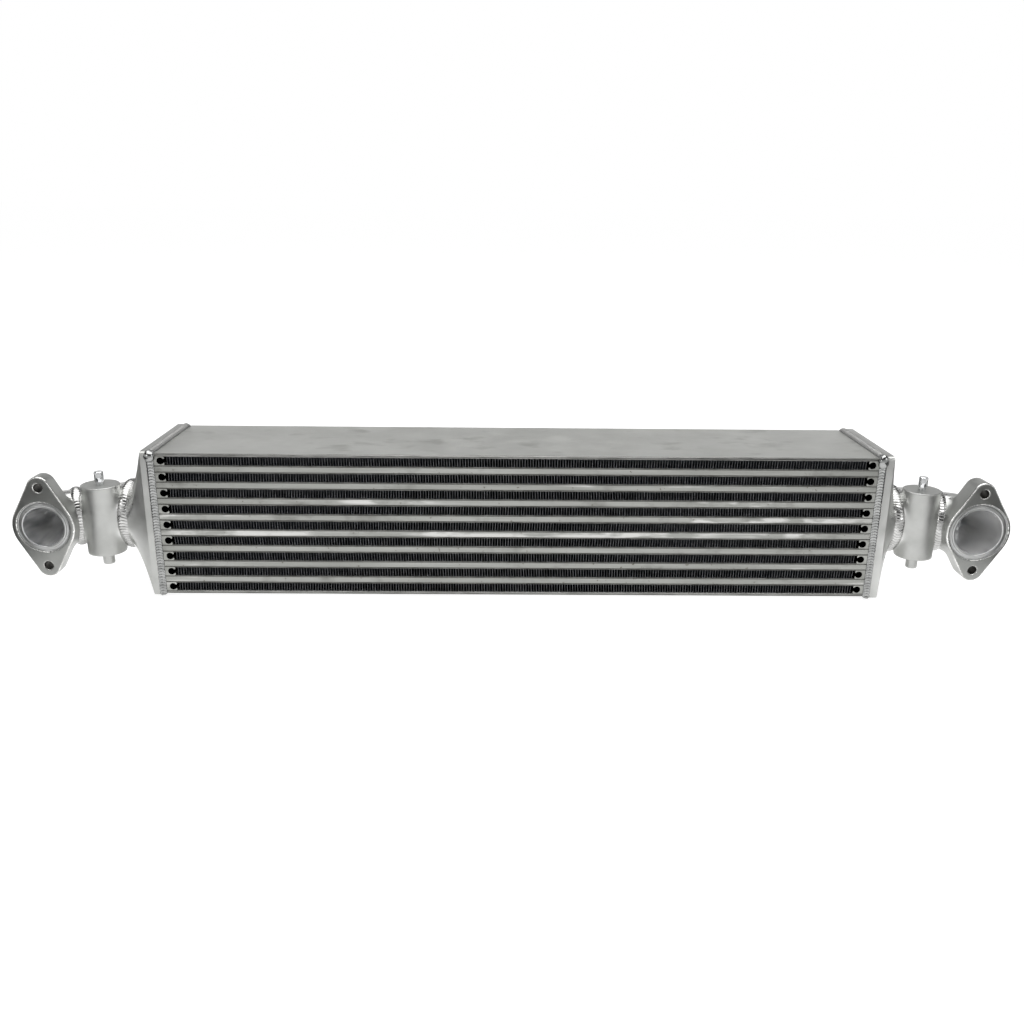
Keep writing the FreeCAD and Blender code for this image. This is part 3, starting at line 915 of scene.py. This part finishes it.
class Shader(NodeTree):
    """A metal."""

    def __init__(self, name, metallic=1.0):
        self.material = bpy.data.materials.new(name)
        super().__init__(self.material)
        self.surface = self.nodes["Principled BSDF"].inputs
        self.surface["Metallic"].default_value = metallic
        self.place = self.node("TexCoord").outputs["Object"]

    def stretched(self, scale, offset=(0, 0, 0)):
        """Object coordinates, scaled by axis."""
        inputs = {"Vector": self.place, "Scale": scale, "Location": offset}
        return self.node("Mapping", inputs).outputs["Vector"]

    def noise(self, scale, stretch=None, offset=(0, 0, 0), detail=4.0, rough=0.5):
        """Cloudy noise from 0 to 1, stretched by axis where asked."""
        place = self.stretched(stretch, offset) if stretch else self.place
        inputs = {"Vector": place, "Scale": scale, "Detail": detail, "Roughness": rough}
        return self.node("TexNoise", inputs).outputs["Fac"]

    def marked(self, name):
        """The value that a mesh carries at each point under this name."""
        return self.ranged(self.node("Attribute", attribute_name=name).outputs["Fac"], 0.0, 1.0)

    def mix(self, factor, first, second):
        """A colour between two colours."""
        inputs = {"Factor": factor, 6: first, 7: second}
        return self.node("Mix", inputs, data_type="RGBA").outputs[2]

    def clouded(self, cloud, dark, light):
        """A colour that drifts from dark to light with a noise."""
        return self.mix(self.ranged(cloud, 0.35, 0.65), dark, light)

    def colour(self, value):
        """Joins a value to the metal's colour."""
        self.link(value, self.surface["Base Color"])

    def roughness(self, value):
        """Joins a value to the roughness."""
        self.link(value, self.surface["Roughness"])

    def uneven(self, cloud, low, high):
        """Roughness that drifts from low to high with a noise."""
        self.roughness(self.ranged(cloud, 0.3, 0.7, low, high))

    def bump(self, value, distance, strength=1.0):
        """Fine relief; several calls add up."""
        inputs = {"Height": value, "Distance": distance, "Strength": strength}
        normal = self.surface["Normal"]
        if normal.links:
            inputs["Normal"] = normal.links[0].from_socket
        self.link(self.node("Bump", inputs).outputs["Normal"], normal)


def plate_metal():
    """Satin rolled plate with cloudy smudges and faint scratches."""
    m = Shader("satin_plate")
    clouds = m.noise(14, detail=5)
    smudges = m.ranged(m.noise(26, (1, 1.6, 1), (0.3, 0, 0), detail=3), 0.58, 0.72)
    base = m.clouded(clouds, (0.55, 0.555, 0.53), (0.64, 0.645, 0.62))
    m.colour(m.mix(m.math("MULTIPLY", smudges, 0.6), base, (0.36, 0.365, 0.34)))
    grain = m.noise(900, (0.06, 1, 1), detail=3)
    m.uneven(m.noise(60, detail=4), 0.34, 0.48)
    m.bump(grain, 0.00004, 0.6)
    return m.material


def shaded_cut_metal():
    """Cut edge of the plates, dragged, and painted dark as shade."""
    m = Shader("sheared_edge")
    drag = m.noise(160, (0.3, 1, 3), detail=3)
    # Painted shade: the front and back faces of the plates are coloured dark.
    m.colour(m.clouded(drag, (0.20, 0.20, 0.19), (0.36, 0.36, 0.345)))
    m.uneven(drag, 0.40, 0.60)
    m.bump(drag, 0.0001, 0.5)
    return m.material


def edge_highlight_metal():
    """Painted highlight: a broken bright line along a cut or machined edge."""
    m = Shader("bright_edge")
    broken = m.noise(90, (0.6, 1, 1), detail=3)
    m.colour(m.mix(m.ranged(broken, 0.40, 0.60), (0.55, 0.55, 0.53), (0.92, 0.92, 0.90)))
    m.uneven(broken, 0.16, 0.30)
    return m.material


def bar_metal(name, streak_share):
    """Extruded bar stock with drawn lines, dull patches, specks and bright streaks."""
    m = Shader(name)
    streak = m.noise(7, (1, 0.5, 9), detail=4, rough=0.6)
    fine = m.noise(420, (0.05, 1, 1), detail=3)
    base = m.clouded(streak, (0.30, 0.305, 0.285), (0.39, 0.395, 0.375))
    specks = m.ranged(m.noise(260, detail=2), 0.68, 0.74)
    base = m.mix(specks, base, (0.16, 0.15, 0.13))
    blots = m.noise(24, (1, 0.5, 1.6), (0.7, 0, 0), detail=5, rough=0.6)
    stains = m.ranged(blots, 0.56, 0.72)
    base = m.mix(m.math("MULTIPLY", stains, 0.7), base, (0.19, 0.19, 0.175))
    patches = m.noise(6, (1, 0.5, 14), (0.2, 0, 0.1), detail=2)
    patch = m.ranged(patches, 0.60 - streak_share, 0.68 - streak_share)
    ragged = m.ranged(m.noise(110, (0.3, 1, 1), detail=4), 0.42, 0.56)
    bright_streaks = m.math("MULTIPLY", patch, ragged)
    m.colour(m.mix(bright_streaks, base, (0.62, 0.62, 0.60)))
    m.uneven(fine, 0.30, 0.46)
    m.bump(fine, 0.00005, 0.5)
    m.bump(m.noise(70, (0.5, 1, 1), detail=3), 0.0002, 0.4)
    return m.material


def fin_metal():
    """Dark fin stock."""
    m = Shader("fin_stock", metallic=0.7)
    tint = m.noise(6, (1, 1, 3), detail=2)
    m.colour(m.mix(m.ranged(tint, 0.4, 0.6), (0.060, 0.062, 0.070), (0.038, 0.042, 0.058)))
    m.uneven(m.noise(200), 0.38, 0.55)
    return m.material


def fin_edge_metal():
    """Sheared edges of the fins, which catch the light."""
    m = Shader("fin_edge", metallic=0.9)
    along = m.noise(260, (1, 1, 0.4), detail=2)
    m.colour(m.clouded(along, (0.11, 0.115, 0.115), (0.36, 0.365, 0.375)))
    m.uneven(along, 0.35, 0.5)
    return m.material


def cast_metal():
    """Fine blasted aluminium, brushed beside the welds, where its colour is raised to a painted highlight
    above and below the duct's middle.
    """
    m = Shader("blasted_metal")
    clouds = m.noise(40, detail=4)
    polish = m.marked("polish")
    base = m.clouded(clouds, (0.44, 0.445, 0.43), (0.52, 0.525, 0.51))
    # Painted highlight: the colour rises to nearly white where the metal is marked brushed and
    # highlighted.
    m.colour(m.mix(polish, base, (0.88, 0.88, 0.87)))
    satin = m.ranged(m.noise(120), 0.3, 0.7, 0.34, 0.44)
    m.roughness(m.math("SUBTRACT", satin, m.math("MULTIPLY", polish, 0.20)))
    strokes = m.noise(700, (1, 0.12, 0.12), detail=2)
    m.bump(m.math("MULTIPLY", strokes, polish), 0.00016)
    m.bump(m.noise(1800, detail=2), 0.00004, 0.5)
    return m.material


def weld_metal(name, dull, bright, dark):
    """Stacked bead, bright on its crests, and rougher and painted dark as shade in its grooves, along its
    sides and at its roots.
    """
    m = Shader(name)
    groove = m.marked("groove")
    clouds = m.noise(160, detail=3)
    top = m.marked("top")
    crest = m.mix(top, m.clouded(clouds, dull, bright), (0.44, 0.44, 0.43))
    m.colour(m.mix(groove, crest, dark))
    m.roughness(m.math("ADD", m.ranged(groove, 0.0, 1.0, 0.20, 0.46), m.math("MULTIPLY", top, 0.28)))
    m.bump(m.noise(500, detail=2), 0.0001, 0.5)
    return m.material


def machined_metal(place):
    """Faced metal with faint lathe rings about the port."""
    m = Shader("machined_face")
    centre = place.port * MM
    shifted = m.stretched((1, 0, 1), (-centre[0], 0, -centre[2]))
    distance = m.node("VectorMath", {0: shifted}, operation="LENGTH").outputs["Value"]
    rings = m.math("SINE", m.math("MULTIPLY", distance, 5200), 0)
    clouds = m.ranged(m.noise(50), 0.3, 0.7, 0.0, 0.7)
    tone = m.math("ADD", clouds, m.ranged(rings, -1.0, 1.0, 0.0, 0.3))
    m.colour(m.mix(tone, (0.29, 0.295, 0.285), (0.37, 0.375, 0.36)))
    m.uneven(m.noise(90), 0.28, 0.38)
    m.bump(rings, 0.00001, 0.35)
    return m.material


def bore_metal():
    """Bored and polished metal with fine turning lines in its relief, and painted reflections: light and
    dark streaks along the bore in its colour.
    """
    m = Shader("polished_bore", metallic=0.62)
    reflection_streaks = m.noise(48, (1, 0.16, 1), detail=3)
    # Painted reflection: streaks from grey to white along the bore.
    m.colour(m.mix(m.ranged(reflection_streaks, 0.42, 0.58), (0.42, 0.43, 0.44), (1.0, 1.0, 1.0)))
    m.uneven(m.noise(90, (1, 0.2, 1)), 0.07, 0.20)
    m.bump(m.noise(60, (1, 3, 1), detail=2), 0.0003, 0.5)
    return m.material


def plain_metal(name, tones, gloss, stretch=None):
    """Metal of one finish: scale, darkest and lightest tone, then scale, least and most rough."""
    m = Shader(name)
    scale, dark, light = tones
    m.colour(m.clouded(m.noise(scale), dark, light))
    scale, low, high = gloss
    m.uneven(m.noise(scale, stretch), low, high)
    return m.material


def dress(piece, *materials):
    """Gives a piece its materials, the first one everywhere."""
    piece.data.materials.clear()
    for material in materials:
        piece.data.materials.append(material)
    piece.data.polygons.foreach_set("material_index", [0] * len(piece.data.polygons))


def dress_node(node, material):
    """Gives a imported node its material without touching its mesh."""
    thing = frame["nodes"][node]
    for slot in thing.material_slots:
        slot.material = material
    if not thing.material_slots:
        thing.data.materials.append(material)


def face_data(piece):
    """Centres in millimetres and normals of a piece's faces."""
    return rows_of(piece.data.polygons, "center") / MM, rows_of(piece.data.polygons, "normal")


def set_regions(piece, indices):
    """Material number of each face."""
    piece.data.polygons.foreach_set("material_index", indices.astype(int).tolist())
    piece.data.update()


def dress_plate(piece, plate, shaded_cut, edge_highlight):
    """Plate whose cut edges at front and back are painted dark as shade, with painted highlight lines
    along them.
    """
    dress(piece, plate, shaded_cut, edge_highlight)
    across = np.abs(face_data(piece)[1][:, 1])
    # Front and back faces take the painted shade, bevel faces the painted highlight.
    set_regions(piece, np.where(across > 0.95, 1, np.where(across > 0.2, 2, 0)))


def dress_elbow(piece, place, cast, bore, edge_highlight, ring_stock, hole_shade):
    """Cast elbow with its machined face, its bore with painted reflections, a painted highlight on its
    rim, its seal ring, and drilled holes painted dark inside as shade.
    """
    dress(piece, cast, machined_metal(place), bore, edge_highlight, ring_stock, hole_shade)
    centres, normals = face_data(piece)
    x, z = centres[:, 0] - place.port[0], centres[:, 2] - place.port[2]
    depth = centres[:, 1] - place.port[1]
    ring_reach = place.bore + PORT_LIP + GROOVE_WIDTH + 0.2
    ring = (depth < GROOVE_DEPTH + 0.4) & (np.hypot(x, z) < ring_reach)
    rim = (depth < FLANGE_CHAMFER + 0.1) & (np.abs(normals[:, 1]) < 0.93) & ~ring
    hole_shade_faces = np.hypot(x, np.abs(z) - place.bolt_reach) < place.bolt_radius + 0.3
    flow = [place.port, place.bend_start, place.on_bend(place.bend_angle / 2), place.seam]
    regions = np.where(depth < 0.3, 1, 0)
    # The chamfered rim takes the painted edge highlight.
    regions = np.where(rim, 3, regions)
    regions = np.where(ring, 4, regions)
    # Painted shade: faces deep inside the bolt holes take the dark hole material.
    regions = np.where(hole_shade_faces & (depth > 1.0), 5, regions)
    set_regions(piece, np.where(tube_field(centres, flow, place.bore) < 0.25, 2, regions))


def make_camera():
    """The camera at the photograph's viewing angle."""
    data = bpy.data.cameras.new("camera")
    data.sensor_fit = "HORIZONTAL"
    data.sensor_width = SENSOR_WIDTH
    data.lens = CAMERA_FOCAL_PIXELS * SENSOR_WIDTH / FRAME_PIXELS
    data.clip_start = 0.01
    camera = add_object("camera", data)
    yaw = Matrix.Rotation(math.radians(-CAMERA_YAW_RIGHT), 4, "Z")
    tilt = Matrix.Rotation(math.radians(90 - CAMERA_TILT_DOWN), 4, "X")
    roll = Matrix.Rotation(math.radians(CAMERA_ROLL), 4, "Z")
    camera.matrix_world = Matrix.Translation(CAMERA_PLACE) @ yaw @ tilt @ roll
    bpy.context.scene.camera = camera


def make_world():
    """White for the camera and in reflections, softer as a light."""
    world = bpy.data.worlds.new("studio")
    tree = NodeTree(world)
    background = tree.nodes["Background"].inputs
    background["Color"].default_value = (1, 1, 1, 1)
    strength = tree.ranged(tree.plain_rays(), 0.0, 1.0, WORLD_LIGHT, WORLD_WHITE)
    tree.link(strength, background["Strength"])
    bpy.context.scene.world = world


def add_stage_piece(name, points, faces):
    """An object of the studio, with its node tree and where its shader comes out."""
    mesh = bpy.data.meshes.new(name)
    mesh.from_pydata(points, [], faces)
    material = bpy.data.materials.new(name)
    mesh.materials.append(material)
    tree = NodeTree(material)
    tree.nodes.clear()
    return add_object(name, mesh), tree, tree.node("OutputMaterial").inputs["Surface"]


def make_floor():
    """A wide pale floor under the lowest point, which keeps a faint shadow."""
    signs = [(-1, -1), (1, -1), (1, 1), (-1, 1)]
    corners = [(x * FLOOR_REACH, y * FLOOR_REACH, cad_low[2]) for x, y in signs]
    floor, tree, surface = add_stage_piece("floor", corners, [(0, 1, 2, 3)])
    tone = tree.node("BsdfDiffuse", {"Color": [FLOOR_TONE] * 3}).outputs["BSDF"]
    glow = tree.node("Emission", {"Strength": FLOOR_GLOW}).outputs["Emission"]
    share = tree.math("MULTIPLY", tree.plain_rays(), FLOOR_GLOW_SHARE)
    mix = tree.node("MixShader", {"Fac": share, 1: tone, 2: glow})
    tree.link(mix.outputs["Shader"], surface)


def make_card(name, points, faces, low_tone, high_tone):
    """A dim studio wall that shows only in reflections, darker towards its top."""
    card, tree, surface = add_stage_piece(name, points, faces)
    card.visible_camera = False
    card.visible_diffuse = False
    card.visible_shadow = False
    place = tree.node("NewGeometry").outputs["Position"]
    height = tree.node("SeparateXYZ", {"Vector": place}).outputs["Z"]
    tone = tree.ranged(height, WALL_FADE_LOW, WALL_FADE_HIGH, low_tone, high_tone)
    tree.link(tree.node("Emission", {"Strength": tone}).outputs["Emission"], surface)


def make_walls():
    """A ring of dim wall round the object, and two dim strips on the floor past its ends."""
    ring = []
    for z in (cad_low[2] + 0.01, WALL_TOP):
        for i in range(WALL_SIDES):
            angle = FULL_TURN * i / WALL_SIDES
            ring.append((WALL_REACH * math.cos(angle), WALL_REACH * math.sin(angle), z))
    faces = grid_faces(2, WALL_SIDES)
    make_card("studio_wall", ring, faces, WALL_LOW_TONE, WALL_HIGH_TONE)
    z = cad_low[2] + 0.001
    for name, side in (("left_strip", -1), ("right_strip", 1)):
        inner, outer = side * STRIP_START, side * WALL_REACH
        near, far = -STRIP_HALF_DEPTH, STRIP_HALF_DEPTH
        corners = [(inner, near, z), (outer, near, z), (outer, far, z), (inner, far, z)]
        make_card(name, corners, [(0, 1, 2, 3)], STRIP_TONE, STRIP_TONE)


def make_lamp(name, place, target, size, power):
    """A soft area lamp."""
    data = bpy.data.lights.new(name, "AREA")
    data.shape = "RECTANGLE"
    data.size, data.size_y = size
    data.energy = power
    lamp = add_object(name, data)
    place, target = Vector(place), Vector(target)
    lamp.rotation_euler = (target - place).to_track_quat("-Z", "Y").to_euler()
    lamp.location = place


chance = random.Random(7)
left = Layout("left", -1)
right = Layout("right", 1)

plate, shaded_cut, edge_highlight, fins = plate_metal(), shaded_cut_metal(), edge_highlight_metal(), fin_metal()
bars, streaked_bars = bar_metal("bar_stock", 0.0), bar_metal("worn_bar_stock", 0.12)
fin_edges, cast = fin_edge_metal(), cast_metal()
# The last colour of each weld is the painted shade in its bead's grooves, sides and roots.
weld = weld_metal("long_weld", (0.31, 0.315, 0.31), (0.43, 0.435, 0.43), (0.11, 0.11, 0.11))
pipe_weld = weld_metal("pipe_weld", (0.50, 0.50, 0.49), (0.66, 0.66, 0.65), (0.20, 0.20, 0.195))
bore = bore_metal()
ring_stock = plain_metal("turned_ring", (90, (0.48, 0.485, 0.48), (0.54, 0.545, 0.54)), (120, 0.27, 0.33))
# Painted shade: the deep walls of the bolt holes are coloured nearly black.
hole_shade = plain_metal("drilled_wall", (200, (0.06, 0.058, 0.052), (0.13, 0.125, 0.115)), (300, 0.35, 0.55))
sheets = plain_metal("parting_sheet", (80, (0.13, 0.13, 0.12), (0.26, 0.26, 0.245)), (200, 0.42, 0.6))
pin_tones = (300, (0.66, 0.67, 0.68), (0.78, 0.79, 0.80))
pins = plain_metal("plated_pin", pin_tones, (900, 0.05, 0.12), stretch=(1, 1, 0.1))

for node in ("bottom_plate", "top_plate"):
    dress_plate(softened(node, PLATE_EDGE), plate, shaded_cut, edge_highlight)
for row in range(1, AMBIENT_ROWS + 1):
    fin = make_fin(row, chance)
    dress(fin, fins, fin_edges)
    centres, normals = face_data(fin)
    set_regions(fin, np.abs(normals[:, 1]) > 0.7)
    dress(make_end_bars(row), bars)
for row in range(1, CHARGE_ROWS + 1):
    stock = streaked_bars if row in BRIGHT_STREAK_ROWS else bars
    dress(softened("charge_bars_%d" % row, BAR_EDGE), stock)
    dress_node("parting_sheets_%d" % row, sheets)
    dress_node("turbulator_%d" % row, fins)
for end, side, place in (("left", -1, left), ("right", 1, right)):
    dress(make_tank(end, side), cast)
    dress(make_tank_bead(end, side, chance), weld)
    neck_axis = np.array([side, 0.0, 0.0])
    bead = make_round_bead(end + "_neck_bead", place.neck, neck_axis, TANK_NECK_RADIUS, chance)
    dress(bead, pipe_weld)
    seam = place.seam - place.seam_axis * SEAM_BEAD_SHIFT
    bead = make_round_bead(end + "_port_bead", seam, -place.seam_axis, place.pipe, chance)
    dress(bead, pipe_weld)
    dress(make_mount_body(end, place), cast)
    dress_elbow(make_port_elbow(end, place), place, cast, bore, edge_highlight, ring_stock, hole_shade)
dress(make_top_pins([left, right]), pins)

make_camera()
make_world()
make_floor()
make_walls()
make_lamp("overhead", *OVERHEAD)
make_lamp("left_fill", *LEFT_FILL)
make_lamp("right_fill", *RIGHT_FILL)
bpy.context.scene.view_settings.view_transform = "Standard"
